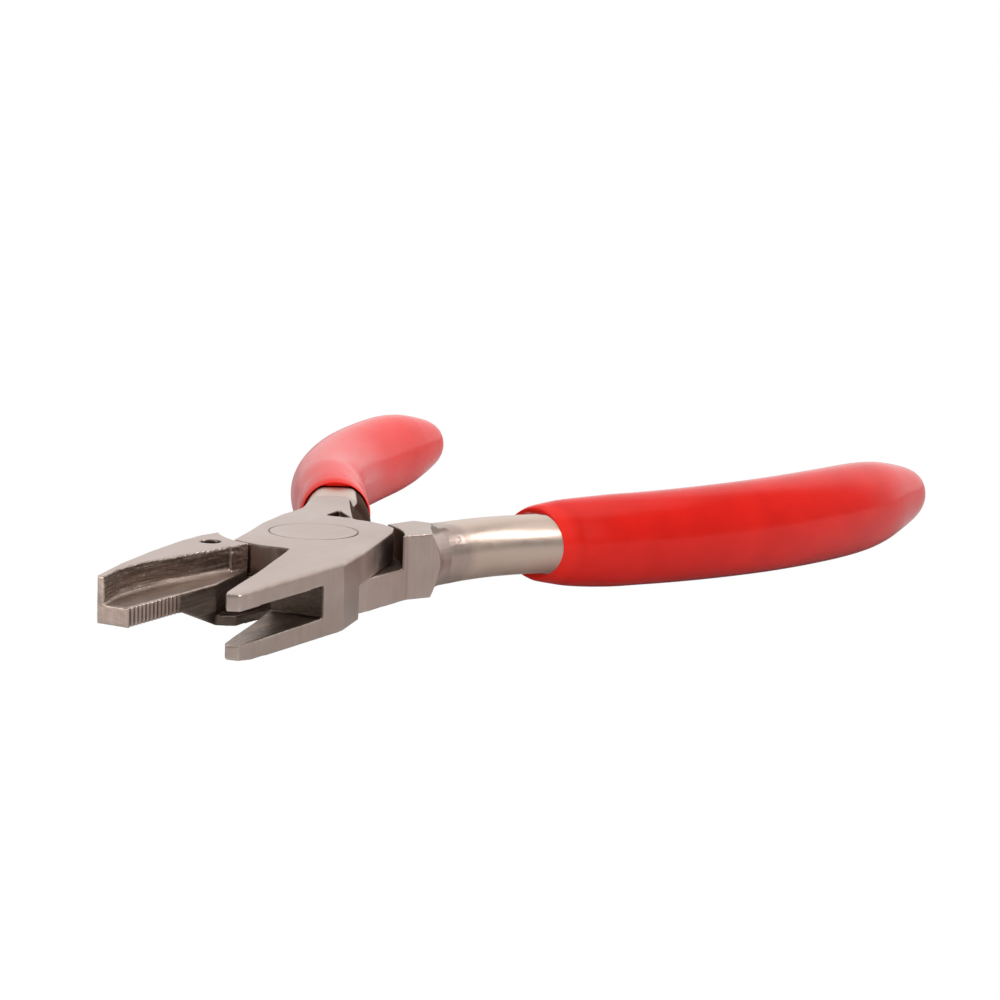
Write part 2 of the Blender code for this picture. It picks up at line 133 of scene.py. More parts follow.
def tube(rings):
    """Points and faces of a closed tube from equal rings, with a fan at each end."""
    count = len(rings[0])
    middles = [[np.mean(rings[0], axis=0)], [np.mean(rings[-1], axis=0)]]
    points = np.concatenate([np.asarray(r) for r in rings] + middles)
    faces = []
    for i in range(len(rings) - 1):
        for j in range(count):
            k = (j + 1) % count
            faces.append((i * count + j, i * count + k, (i + 1) * count + k, (i + 1) * count + j))
    first, last = len(points) - 2, len(points) - 1
    top = (len(rings) - 1) * count
    for j in range(count):
        k = (j + 1) % count
        faces.append((first, k, j))
        faces.append((last, top + j, top + k))
    return points, faces


# ---------------------------------------------------------------- node helpers
class Nodes:
    """A short way to write a material's nodes: n.add(type, socket=value or link)."""

    def __init__(self, name):
        self.mat = bpy.data.materials.new(name)
        self.mat.use_nodes = True
        self.tree = self.mat.node_tree
        self.tree.nodes.clear()
        self.out = self.tree.nodes.new("ShaderNodeOutputMaterial")
        self.coord = self.add("ShaderNodeTexCoord").outputs["Object"]

    def add(self, kind, **sockets):
        node = self.tree.nodes.new(kind)
        for key, value in sockets.items():
            self.put(node, key.replace("_", " "), value)
        return node

    def put(self, node, key, value):
        """Set or link one input; a key such as i0 picks the input by its number."""
        by_number = key[0] == "i" and key[1:].isdigit()
        target = node.inputs[int(key[1:])] if by_number else node.inputs[key]
        if isinstance(value, bpy.types.NodeSocket):
            self.tree.links.new(value, target)
        elif hasattr(value, "__len__") and len(target.default_value) == 4 and len(value) == 3:
            target.default_value = (*value, 1.0)
        else:
            target.default_value = value

    def noise(self, scale, detail=3.0, rough=0.55, offset=(0.0, 0.0, 0.0)):
        """Noise on object coordinates; scale is three numbers, so grain can run along one axis."""
        place = self.add("ShaderNodeMapping", Vector=self.coord, Location=offset, Scale=scale)
        tex = self.add("ShaderNodeTexNoise", Vector=place.outputs[0], Scale=1.0, Detail=detail,
                       Roughness=rough)
        return tex.outputs["Fac"]

    def span(self, value, low, high, to_low=0.0, to_high=1.0):
        """A value mapped from one range to another, and held at its ends."""
        node = self.add("ShaderNodeMapRange", Value=value)
        for key, number in (("From Min", low), ("From Max", high), ("To Min", to_low), ("To Max", to_high)):
            self.put(node, key, number)
        return node.outputs[0]

    def math(self, operation, a, b=0.0):
        node = self.tree.nodes.new("ShaderNodeMath")
        node.operation = operation
        self.put(node, "i0", a)
        self.put(node, "i1", b)
        return node.outputs[0]

    def mix(self, factor, a, b, blend='MIX'):
        """Two colours mixed; sockets 0, 6 and 7 are the factor and the two colours."""
        node = self.tree.nodes.new("ShaderNodeMix")
        node.data_type = 'RGBA'
        node.blend_type = blend
        for key, value in ((0, factor), (6, a), (7, b)):
            if isinstance(value, bpy.types.NodeSocket):
                self.tree.links.new(value, node.inputs[key])
            elif key == 0:
                node.inputs[key].default_value = value
            else:
                node.inputs[key].default_value = (*value, 1.0)
        return node.outputs[2]

    def grey(self, value):
        return self.add("ShaderNodeCombineColor", Red=value, Green=value, Blue=value).outputs[0]

    def bump(self, height, strength, distance, normal=None):
        node = self.add("ShaderNodeBump", Height=height, Strength=strength, Distance=distance)
        if normal:
            self.tree.links.new(normal, node.inputs["Normal"])
        return node.outputs[0]

    def attribute(self, name):
        node = self.tree.nodes.new("ShaderNodeAttribute")
        node.attribute_name = name
        return node

    def channels(self, name):
        """The three channels of a vertex colour attribute."""
        split = self.add("ShaderNodeSeparateColor", Color=self.attribute(name).outputs["Color"])
        return split.outputs[0], split.outputs[1], split.outputs[2]

    def shader(self, **sockets):
        bsdf = self.add("ShaderNodeBsdfPrincipled", **sockets)
        self.tree.links.new(bsdf.outputs[0], self.out.inputs[0])
        return bsdf


# ---------------------------------------------------------------- materials
STEEL_LIGHT = (0.605, 0.485, 0.432)
STEEL_DARK = (0.51, 0.395, 0.342)
STEEL_WORN = (0.80, 0.69, 0.62)      # on rubbed edges
STEEL_MILLED = (0.56, 0.425, 0.345)
STEEL_SHANK = (0.76, 0.595, 0.495)   # on the turned shanks
MILLED_SHADE = 0.22                  # how dark the bottom of a milling mark is
# dark colour for the dirt in the rivet's joint and for painted shade in hollows, holes and gaps
DIRT_AND_SHADE = (0.085, 0.060, 0.046)
DIRT_AND_SHADE_EDGE_TINT = (0.13, 0.10, 0.08)  # painted shade and dirt don't gleam at a low angle either
WHITE = (1.0, 1.0, 1.0)
FINE_LINE = 0.005                    # heights of the surface marks, in millimetres
LONG_LINE = 0.012
SCAR = 0.035
RIPPLE = 0.10
LIP_RED = (0.80, 0.016, 0.008)
# where each grip begins: a point of its dip line, and the way it faces in degrees
NEAR_MOUTH = (-32.9, 17.2)
NEAR_DIP = 172.0
FAR_MOUTH = (-35.2, -18.1)
FAR_DIP = 210.0
LIP_BAND = (2.3, 1.2)                # behind the dip line: where the lip's colour has gone, and starts to go


def steel(name):
    """Satin steel: fine grinding lines, soft mottling, bright worn edges, rough cuts and painted shade in
    corners.
    """
    n = Nodes(name)
    # the lines run along the tool on the flats above and below, and upright on its sides
    up = n.add("ShaderNodeSeparateXYZ", Vector=n.add("ShaderNodeNewGeometry").outputs["Normal"]).outputs[2]
    flat = n.span(n.math('ABSOLUTE', up), 0.55, 0.8)
    top_fine = n.noise((300.0, 7000.0, 7000.0), 2.0, 0.5)
    top_long = n.noise((90.0, 1300.0, 1300.0), 2.0, 0.5, (0.3, 0.1, 0.2))
    side_fine = n.noise((6000.0, 6000.0, 200.0), 2.0, 0.5, (0.5, 0.4, 0.1))
    side_long = n.noise((1500.0, 1500.0, 60.0), 3.0, 0.6, (0.2, 0.8, 0.6))

    def on_faces(top, side):
        """One pattern on the flats above and below, the other on the sides."""
        upright = n.math('SUBTRACT', 1.0, flat)
        return n.math('ADD', n.math('MULTIPLY', top, flat), n.math('MULTIPLY', side, upright))

    fine = on_faces(top_fine, side_fine)
    long = on_faces(top_long, side_long)
    mottle = n.noise((420.0, 420.0, 420.0), 4.0, 0.6)
    cloud = n.noise((70.0, 70.0, 90.0), 2.0, 0.5, (3.0, 1.0, 0.0))
    tone = n.span(n.math('ADD', n.math('MULTIPLY', mottle, 0.5), n.math('MULTIPLY', cloud, 0.5)), 0.35, 0.65)
    colour = n.mix(tone, STEEL_DARK, STEEL_LIGHT)
    streak = n.math('ADD', n.span(fine, 0.3, 0.7, 0.42, 0.52), n.span(long, 0.3, 0.7, 0.47, 0.53))
    colour = n.mix(1.0, colour, n.grey(streak), 'MULTIPLY')
    rough = n.math('ADD', n.span(mottle, 0.3, 0.7, 0.30, 0.40), n.span(fine, 0.3, 0.7, -0.04, 0.04))
    normal = n.bump(fine, 0.5, FINE_LINE * MM)
    normal = n.bump(long, 0.3, LONG_LINE * MM, normal)
    milled, worn, hollow = n.channels("milling_wear_and_shade")
    polish = n.attribute("polish")
    colour = n.mix(n.math('MULTIPLY', polish.outputs["Fac"], 0.7), colour, STEEL_SHANK)
    # milled faces: long scars, finer lines across them, specks, and a few painted glints
    scar = n.noise((170.0, 1100.0, 5200.0), 4.0, 0.75, (0.1, 0.7, 0.4))
    line = n.noise((110.0, 900.0, 8500.0), 2.0, 0.6, (0.8, 0.3, 0.6))
    speck = n.noise((1900.0, 2300.0, 2300.0), 3.0, 0.7, (0.6, 0.2, 0.9))
    depth = n.math('MULTIPLY', n.span(scar, 0.40, 0.60, 0.30, 1.0), n.span(speck, 0.3, 0.6, 0.60, 1.0))
    depth = n.math('MULTIPLY', depth, n.span(line, 0.42, 0.56, 0.35, 1.0))
    cut = n.mix(depth, tuple(MILLED_SHADE * c for c in STEEL_MILLED), STEEL_MILLED)
    painted_glint = n.span(n.noise((1500.0, 2100.0, 2600.0), 2.0, 0.5, (0.9, 0.3, 0.5)), 0.68, 0.73)
    cut = n.mix(painted_glint, cut, STEEL_WORN)
    colour = n.mix(milled, colour, cut)
    colour = n.mix(n.math('MULTIPLY', worn, 0.8), colour, STEEL_WORN)
    # the third channel darkens hollows, holes and gaps: painted shade, with the dirt of the rivet's joint
    colour = n.mix(n.math('MULTIPLY', hollow, 0.92), colour, DIRT_AND_SHADE)
    rough = n.math('ADD', rough, n.math('MULTIPLY', milled, 0.05))
    height = n.math('ADD', n.math('MULTIPLY', scar, 1.4), speck)
    normal = n.bump(n.math('MULTIPLY', height, milled), 0.7, SCAR * MM, normal)
    tint = n.mix(hollow, WHITE, DIRT_AND_SHADE_EDGE_TINT)
    n.shader(Base_Color=colour, Metallic=1.0, Roughness=rough, Normal=normal, Specular_Tint=tint)
    return n.mat


def pvc(name, colour, deep, scuff_and_sheen_colour, sheen_from, sheen_to, sheen_share, mouth, dip_angle, gloss):
    """Glossy dipped plastic: slight ripples from the dip, small scuffs, and a painted paler sheen along part
    of it.
    """
    n = Nodes(name)
    ripple = n.noise((120.0, 160.0, 160.0), 2.0, 0.5)
    scuff = n.noise((500.0, 1500.0, 1500.0), 4.0, 0.6)
    nick = n.noise((260.0, 60.0, 60.0), 3.0, 0.6, (0.4, 0.9, 0.1))
    base = n.mix(n.span(ripple, 0.35, 0.65), deep, colour)
    along = n.add("ShaderNodeSeparateXYZ", Vector=n.coord).outputs[0]
    # a painted sheen: paler towards the mouth, standing in for the backdrop's reflection
    painted_sheen = n.span(along, sheen_from * MM, sheen_to * MM)
    base = n.mix(n.math('MULTIPLY', painted_sheen, sheen_share), base, scuff_and_sheen_colour)
    scratch = n.span(nick, 0.70, 0.78)
    base = n.mix(n.math('MULTIPLY', scratch, 0.12), base, scuff_and_sheen_colour)
    # the rolled lip keeps the full colour of thick plastic
    dip = Vector((math.cos(math.radians(dip_angle)), math.sin(math.radians(dip_angle)), 0.0))
    place = n.tree.nodes.new("ShaderNodeVectorMath")
    place.operation = 'DOT_PRODUCT'
    n.tree.links.new(n.coord, place.inputs[0])
    place.inputs[1].default_value = dip
    start = Vector((mouth[0], mouth[1], 0.0)).dot(dip)
    lip = n.span(place.outputs["Value"], (start + LIP_BAND[0]) * MM, (start + LIP_BAND[1]) * MM)
    base = n.mix(lip, base, LIP_RED)
    rough = n.math('ADD', n.span(scuff, 0.4, 0.7, 0.15, 0.22), n.math('MULTIPLY', painted_sheen, 0.06 * sheen_share))
    rough = n.math('ADD', rough, n.math('MULTIPLY', scratch, 0.12))
    normal = n.bump(ripple, 0.2, RIPPLE * MM)
    n.shader(Base_Color=base, Metallic=0.0, Roughness=rough, Normal=normal, IOR=1.47,
             Specular_IOR_Level=gloss)
    return n.mat


lever_steel = steel("lever_steel")
near_pvc = pvc("near_pvc", colour=(0.71, 0.012, 0.006), deep=(0.63, 0.009, 0.004), scuff_and_sheen_colour=(0.78, 0.20, 0.18),
               sheen_from=-90.0, sheen_to=-40.0, sheen_share=0.0, mouth=NEAR_MOUTH, dip_angle=NEAR_DIP, gloss=0.33)
# the same plastic as the near grip, painted a lighter red in place of the light on its inner side
far_pvc_painted_lighter = pvc("far_pvc_painted_lighter", colour=(0.83, 0.020, 0.014), deep=(0.77, 0.014, 0.009), scuff_and_sheen_colour=(0.79, 0.088, 0.086),
              sheen_from=-84.0, sheen_to=-46.0, sheen_share=1.0, mouth=FAR_MOUTH, dip_angle=FAR_DIP, gloss=0.16)


# ---------------------------------------------------------------- levers
VOXEL = 0.15           # spacing of the fine surface
TANG_X = -41.0         # behind this the tang is hidden by its grip and stays coarse
# the foot of the milled wall, (X, Y, radius of its fillet)
WALL = [(42.05, -3.5, 0.2), (41.0, -3.75, 0.3), (39.6, -4.25, 0.55), (37.4, -4.9, 0.9), (34.5, -5.15, 1.0),
        (30.7, -4.95, 1.0), (24.1, -3.85, 1.0), (19.0, -3.12, 0.95), (16.4, -2.78, 0.8)]
TONGUE_TOP = 5.5
FORK_ANGLE = math.radians(18.3)
HOLE_X, HOLE_Y = 14.9, -6.7
LAP_Z = 4.42               # height of the lower lap plate's top face
DIRT_WAY = (-0.47, 0.88)   # dirt lies thickest in the rivet's joint on this line across the tool
BAR_SIDE = (-0.540, 0.842)   # across the far bar, towards its inner side
BAR_EDGE = 6.53              # how far that way the bar's top edge lies


def half_of(node, cut_x, keep_front):
    """One end of a CAD node's mesh, closed with a cap."""
    bm = bmesh.new()
    bm.from_mesh(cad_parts[node].data)
    bmesh.ops.remove_doubles(bm, verts=bm.verts, dist=0.002 * MM)
    geom = bm.verts[:] + bm.edges[:] + bm.faces[:]
    bmesh.ops.bisect_plane(bm, geom=geom, plane_co=(cut_x * MM, 0, 0), plane_no=(1, 0, 0), dist=0.0001 * MM,
                           clear_inner=keep_front, clear_outer=not keep_front)
    rim = [e for e in bm.edges if e.is_boundary]
    bmesh.ops.holes_fill(bm, edges=rim, sides=0)
    bmesh.ops.recalc_face_normals(bm, faces=bm.faces)
    return bm


def add_fillet(bm, line, z):
    """A concave fillet along an inside corner, sunk into both of its faces; line holds (x, y, radius)."""
    rows = []
    for i, (x, y, size) in enumerate(line):
        ahead = Vector(line[min(i + 1, len(line) - 1)][:2]) - Vector(line[max(i - 1, 0)][:2])
        side = Vector((ahead.y, -ahead.x)).normalized()
        if side.y < 0:
            side = -side
        turns = [math.radians(a) for a in (4, 18, 32, 45, 58, 72, 86)]
        section = [(-0.5, -0.5), (-0.5, size)]
        section += [(size * (1.0 - math.cos(t)), size * (1.0 - math.sin(t))) for t in turns]
        section += [(size, -0.5)]
        rows.append([bm.verts.new(((x + side.x * a) * MM, (y + side.y * a) * MM, (z + b) * MM))
                     for a, b in section])
    made = []
    for one, two in zip(rows, rows[1:]):
        for j in range(len(one)):
            k = (j + 1) % len(one)
            made.append(bm.faces.new((one[j], one[k], two[k], two[j])))
    made.append(bm.faces.new(rows[0][::-1]))
    made.append(bm.faces.new(rows[-1]))
    bmesh.ops.recalc_face_normals(bm, faces=made)


def mesh_arrays(mesh):
    """A mesh's points in millimetres, its point normals and its edges, as arrays."""
    count = len(mesh.vertices)
    co = np.empty(count * 3)
    mesh.vertices.foreach_get("co", co)
    normal = np.empty(count * 3)
    mesh.vertex_normals.foreach_get("vector", normal)
    edges = np.empty(len(mesh.edges) * 2, dtype=np.int32)
    mesh.edges.foreach_get("vertices", edges)
    return co.reshape(-1, 3) / MM, normal.reshape(-1, 3), edges.reshape(-1, 2)


def around(values, edges):
    """Each vertex's average over its neighbours."""
    a, b = edges[:, 0], edges[:, 1]
    count = len(values)
    degree = np.maximum(np.bincount(a, minlength=count) + np.bincount(b, minlength=count), 1)
    if values.ndim == 1:
        return (np.bincount(a, values[b], count) + np.bincount(b, values[a], count)) / degree
    return np.stack([around(values[:, k], edges) for k in range(values.shape[1])], axis=1)


def relax(co, edges, weight, rounds):
    """Points moved towards their neighbours' average, by weight, in each round."""
    for _ in range(rounds):
        co = co + weight[:, None] * (around(co, edges) - co)
    return co


def past_bar(co):
    """Distance beyond the far bar's inner top edge, negative over the bar itself."""
    return co[:, 0] * BAR_SIDE[0] + co[:, 1] * BAR_SIDE[1] - BAR_EDGE


def fine_lever(node, fillets, detail, shank_x, rounds, edge_rounds):
    """A dense copy of a lever: soft edges, tool marks as real relief, and an attribute of milling, wear, dirt
    and painted shade.

    Behind shank_x it is relaxed for more rounds; detail gives the relief, the milled share, the painted shade
    with dirt and how much painted shade a hollow may take.
    """
    bm = half_of(node, TANG_X - 1.5, True)
    for line, z in fillets:
        add_fillet(bm, line, z)
    mesh = bpy.data.meshes.new(node + "_front")
    bm.to_mesh(mesh)
    bm.free()
    obj = bpy.data.objects.new(node + "_fine", mesh)
    scene.collection.objects.link(obj)
    remesh = obj.modifiers.new("remesh", 'REMESH')
    remesh.mode = 'VOXEL'
    remesh.voxel_size = VOXEL * MM
    bpy.context.view_layer.update()
    fine = bpy.data.meshes.new_from_object(obj.evaluated_get(bpy.context.evaluated_depsgraph_get()))
    obj.modifiers.clear()
    co, _, edges = mesh_arrays(fine)
    co = relax(co, edges, np.full(len(co), 0.5), 3)
    shank = fade(co[:, 0], shank_x, shank_x - 2.5)
    co = relax(co, edges, 0.5 * shank, rounds)
    # outer top edges near the joint can be dressed rounder than the rest
    dressed = fade(co[:, 2], 7.4, 8.2) * fade(co[:, 1], 3.5, 5.5) * fade(co[:, 0], -9.5, -7.5)
    co = relax(co, edges, 0.5 * dressed, edge_rounds)
    fine.vertices.foreach_set("co", (co * MM).ravel())
    fine.update()
    co, normal, edges = mesh_arrays(fine)
    lift, milled, dirt_and_shade, keep = detail(co, normal)
    # above 0 in hollows and below 0 on edges
    inward = ((around(co, edges) - co) * normal).sum(axis=1) / VOXEL
    for _ in range(3):
        inward = 0.5 * inward + 0.5 * around(inward, edges)
    co = co + normal * lift[:, None]
    patchy = 0.6 + 0.55 * noise3(co, (0.9, 0.9, 0.9), 7) + 0.35 * noise3(co, (3.1, 3.1, 3.1), 8)
    worn = np.clip(-inward * 9.0 - 0.12, 0.0, 1.0) * np.clip(patchy, 0.0, 1.0)
    # concave spots are darkened: painted shade
    hollow = np.clip(inward * 12.0 - 0.12, 0.0, 1.0) * keep
    hollow = np.maximum(hollow, dirt_and_shade)
    worn = worn * (1.0 - dirt_and_shade) * (1.0 - 0.8 * fade(co[:, 0], -12.0, -14.0))
    fine.vertices.foreach_set("co", (co * MM).ravel())
    layer = fine.color_attributes.new("milling_wear_and_shade", 'FLOAT_COLOR', 'POINT')
    colours = np.stack([milled, worn * (1.0 - shank), hollow, np.ones(len(co))], axis=1)
    layer.data.foreach_set("color", colours.ravel())
    fine.attributes.new("polish", 'FLOAT', 'POINT').data.foreach_set("value", shank)
    bm = bmesh.new()
    bm.from_mesh(fine)
    tang = half_of(node, TANG_X, False)
    tang_mesh = bpy.data.meshes.new(node + "_tang")
    tang.to_mesh(tang_mesh)
    tang.free()
    bm.from_mesh(tang_mesh)
    bm.to_mesh(fine)
    bm.free()
    fine.shade_smooth()
    obj.data = fine
    fine.materials.clear()
    fine.materials.append(lever_steel)
    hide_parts(node)
    return obj


def ground_marks(co):
    """The faint waviness that hand grinding leaves on flat faces."""
    return 0.004 * noise3(co, (0.35, 0.5, 0.5), 3) + 0.0025 * noise3(co, (0.3, 2.2, 2.2), 4)


def ring_grime(co):
    """Dirt held in the thin joint round the rivet's head, uneven and darker at its left and right."""
    radius = np.hypot(co[:, 0], co[:, 1])
    line = fade(radius, 6.32, 6.12) * fade(np.abs(co[:, 2] - MID), MID - 0.6, MID - 0.3)
    sides = ((co[:, 0] * DIRT_WAY[0] + co[:, 1] * DIRT_WAY[1]) / np.maximum(radius, 1.0)) ** 2
    line = line * (0.10 + 0.60 * sides)
    return line * np.clip(0.8 + 0.35 * noise3(co, (0.4, 0.4, 0.4), 31), 0.0, 1.0)


def lower_detail(co, normal):
    """Relief, milled share, painted shade with joint dirt, and kept hollows of the lower lever."""
    x, y, z = co.T
    wall = fade(x, 12.5, 13.5) * fade(z, TONGUE_TOP + 0.05, TONGUE_TOP + 0.35) * fade(y, -1.2, -2.0)
    wall = wall * fade(normal[:, 1], 0.15, 0.45)
    foot = fade(x, 24.5, 23.0) * fade(x, 11.5, 12.6) * fade(y, -4.5, -3.6) * fade(z, 5.6, 5.1)
    root = fade(x, 20.5, 18.5) * fade(x, 11.5, 12.6) * fade(y, -2.9, -2.4) * fade(z, 8.8, 8.6)
    tongue = fade(x, 13.0, 15.0) * fade(z, TONGUE_TOP - 0.3, TONGUE_TOP - 0.1)
    tongue = tongue * fade(z, 7.2, 6.2) * fade(y, -5.4, -4.8)
    side = fade(x, 13.0, 15.0) * fade(x, 32.2, 31.6) * fade(normal[:, 1], 0.5, 0.9)
    side = side * fade(y, -1.0, 0.0) * fade(z, 5.4, 5.2)
    cut = np.maximum.reduce([wall, 0.75 * foot, 0.9 * root, 0.55 * tongue, 0.8 * side])
    # the milling is painted fainter towards the joint, a painted lift of light on the wall where the fork
    # shades it
    milled = (1.0 - 0.7 * fade(x, 29.0, 17.0)) * cut
    groove = 0.030 * noise3(co, (0.10, 0.6, 2.6), 11) + 0.040 * noise3(co, (0.25, 1.0, 5.5), 12)
    pits = 0.014 * noise3(co, (1.4, 2.2, 2.2), 13) + 0.030 * noise3(co, (2.6, 3.6, 3.6), 14)
    marks = groove + pits
    lift = ground_marks(co) + wall * fade(z, TONGUE_TOP + 0.4, TONGUE_TOP + 1.1) * marks
    lift = lift + np.maximum(foot, root) * 0.8 * marks
    lift = lift + 0.25 * tongue * groove
    tip = fade(x, 41.5, 42.0)
    lift = lift + tip * 0.012 * noise3(co, (3.0, 3.0, 3.0), 17)
    shank = fade(x, -14.5, -16.5) * fade(x, -31.0, -22.0)
    dents = np.minimum(noise3(co, (1.1, 1.1, 1.1), 15) + 0.35, 0.0)
    dents = dents + np.minimum(noise3(co, (2.4, 2.4, 2.4), 16) + 0.45, 0.0)
    lift = lift + shank * 0.035 * dents
    # painted shade: the hole's inside, the low tab, the wall's foot, the pocket and the lap's ledge go dark,
    # and the near neck's bevel loses its bright line
    hole = fade(np.hypot(x - HOLE_X, y - HOLE_Y), 1.75, 1.55) * fade(z, 8.95, 8.6)
    tab = 0.75 * fade(x, 13.0, 16.0) * fade(z, 2.2, 1.6) * fade(x, 26.5, 24.5)
    under = 0.45 * foot
    radius = np.hypot(x, y)
    pocket = fade(radius, 12.75, 12.55) * fade(radius, 11.3, 11.8) * fade(y, 3.0, 5.0) * fade(x, 0.0, -3.0)
    pocket = pocket * fade(z, 4.3, LAP_Z) * fade(z, 9.05, 8.8)
    ledge = fade(x, 2.5, 0.5) * fade(x, -13.0, -12.0) * fade(np.abs(z - LAP_Z), 0.3, 0.12)
    ledge = ledge * fade(normal[:, 2], 0.6, 0.9)
    bevel = fade(x, -11.5, -12.5) * fade(x, -16.6, -15.9) * fade(normal[:, 2], 0.2, 0.45)
    bevel = bevel * fade(normal[:, 2], 0.98, 0.92) * fade(z, 8.0, 8.4)
    dirt_and_shade = np.maximum.reduce([hole, tab, under, 0.5 * bevel, 0.5 * pocket, 0.5 * ledge, ring_grime(co)])
    keep = 1.0 - 0.75 * fade(x, 40.2, 41.4) * fade(z, 4.5, 5.0) - 0.4 * tongue
    return lift, milled, dirt_and_shade, keep


def upper_detail(co, normal):
    """Relief, milled share, painted shade with joint dirt, and kept hollows of the upper lever."""
    x, y, z = co.T
    cosine, sine = math.cos(FORK_ANGLE), math.sin(FORK_ANGLE)
    # the slot's floor and roof, then its blind end wall
    inside = fade(x, 20.5, 22.0) * fade(z, 2.3, 2.7) * fade(z, 7.05, 6.65)
    inside = inside * fade(np.abs(normal[:, 2]), 0.2, 0.5)
    endwise = normal[:, 0] * cosine + normal[:, 1] * sine
    blind = fade(x, 15.0, 16.0) * fade(x, 29.0, 27.0) * fade(z, 2.3, 2.6) * fade(z, 7.05, 6.75)
    blind = blind * fade(endwise, 0.3, 0.7)
    milled = np.maximum(0.7 * inside, 0.8 * blind)
    along = x * cosine + y * sine
    across = y * cosine - x * sine
    turned = np.stack([along, across, z], axis=1)
    groove = 0.018 * noise3(turned, (2.8, 0.12, 0.5), 21) + 0.012 * noise3(turned, (1.6, 1.6, 1.6), 22)
    bar_side = normal[:, 1] * 0.84 - normal[:, 0] * 0.54
    # the far bar's inner side and what lies past its top edge are painted dark
    flank = fade(bar_side, 0.12, 0.4) * fade(normal[:, 2], 0.93, 0.8)
    scale = fade(x, -12.3, -12.8)
    scale = scale * np.maximum(flank, fade(past_bar(co), 0.0, 0.2))
    # faint painted shade in the notch behind the plate, which also takes less shade from its curvature
    hollow = fade(x, -11.8, -12.1) * fade(x, -17.5, -17.0) * fade(z, 8.92, 8.75) * fade(z, 7.8, 8.0)
    hollow = hollow * fade(y, -6.6, -6.2) * fade(y, -0.9, -1.4)
    shade = 0.05 * inside + 0.8 * blind
    # the fork's sides are painted duller, more on the lower tine: painted shade
    sideways = normal[:, 1] * cosine - normal[:, 0] * sine
    painted_side_shade = fade(x, 7.0, 10.0) * fade(sideways, 0.5, 0.9) * (0.09 + 0.09 * fade(z, 5.5, 3.0))
    dirt_and_shade = np.maximum.reduce([0.9 * scale, 0.1 * hollow, shade, painted_side_shade, ring_grime(co)])
    return ground_marks(co) + milled * groove, milled, dirt_and_shade, 1.0 - 0.8 * hollow


lower = fine_lever("lower_lever", [(WALL, TONGUE_TOP)], lower_detail, shank_x=-17.5, rounds=70, edge_rounds=0)
upper = fine_lever("upper_lever", [], upper_detail, shank_x=-26.5, rounds=30, edge_rounds=14)

# ---------------------------------------------------------------- rivet
# radius and depth below the top face, from the head's middle to its waist; the foot mirrors it
profile = [(2.5, 0.0), (4.6, 0.0), (5.6, 0.001), (5.93, 0.006), (6.0, 0.02), (6.02, 0.05), (5.95, 0.13),
           (3.9, 2.2)]
profile = [(r, THICK - depth) for r, depth in profile] + [(r, depth) for r, depth in reversed(profile)]
SPOKES = 160
rings = []
for radius, height in profile:
    angle = np.arange(SPOKES) * 2.0 * math.pi / SPOKES
    rings.append(np.stack([radius * np.cos(angle), radius * np.sin(angle), np.full(SPOKES, height)], axis=1))
rivet = mesh_object("rivet_fine", *tube(rings))
rivet_points = mesh_arrays(rivet.data)[0]
dirt = ring_grime(rivet_points) * fade(np.hypot(rivet_points[:, 0], rivet_points[:, 1]), 5.94, 6.0)
none = np.zeros(len(dirt))
milling_wear_and_shade = rivet.data.color_attributes.new("milling_wear_and_shade", 'FLOAT_COLOR', 'POINT')
milling_wear_and_shade.data.foreach_set("color", np.stack([none, none, dirt, none + 1.0], axis=1).ravel())
rivet.data.materials.append(lever_steel)
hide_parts("rivet")

# ---------------------------------------------------------------- grips
# each handle's middle line, from the joint to its end
NEAR_PATH = [(-10.0, 8.4), (-18.5, 10.2), (-26.8, 13.2), (-33.8, 17.9), (-41.5, 24.2), (-53.8, 31.4),
             (-69.4, 37.9), (-84.5, 42.0), (-97.2, 44.2), (-108.2, 45.4), (-118.0, 46.7)]
FAR_PATH = [(-10.0, -7.2), (-18.5, -8.9), (-27.0, -12.5), (-34.0, -17.2), (-41.0, -22.4), (-53.8, -31.0),
            (-69.4, -37.9), (-83.8, -41.9), (-95.2, -44.1), (-105.0, -45.1), (-113.8, -45.5)]
# half of the grip's height at shares of its length: behind the lip, then in each grip's own lip
HALF_HEIGHT = [(0.13, 6.85), (0.20, 6.95), (0.40, 7.25), (0.60, 7.45), (0.74, 7.4), (0.82, 6.95),
               (0.88, 6.15), (0.93, 5.25), (0.963, 4.45), (0.984, 3.55), (0.996, 2.3), (1.0, 0.9), (1.0, 0.0)]
NEAR_LIP = [(0.0, 5.45), (0.025, 5.95), (0.06, 6.45)]
FAR_LIP = [(0.0, 5.1), (0.025, 5.5), (0.06, 6.0)]
SIDES = 112
LIP_ROLL = 0.55        # radius of the rolled lip at the dip line
LEAN_LENGTH = 9.0      # the rings turn from the dip line to square over this length
LIP_LENGTH = 7.0       # the sleeve takes its own width over this length


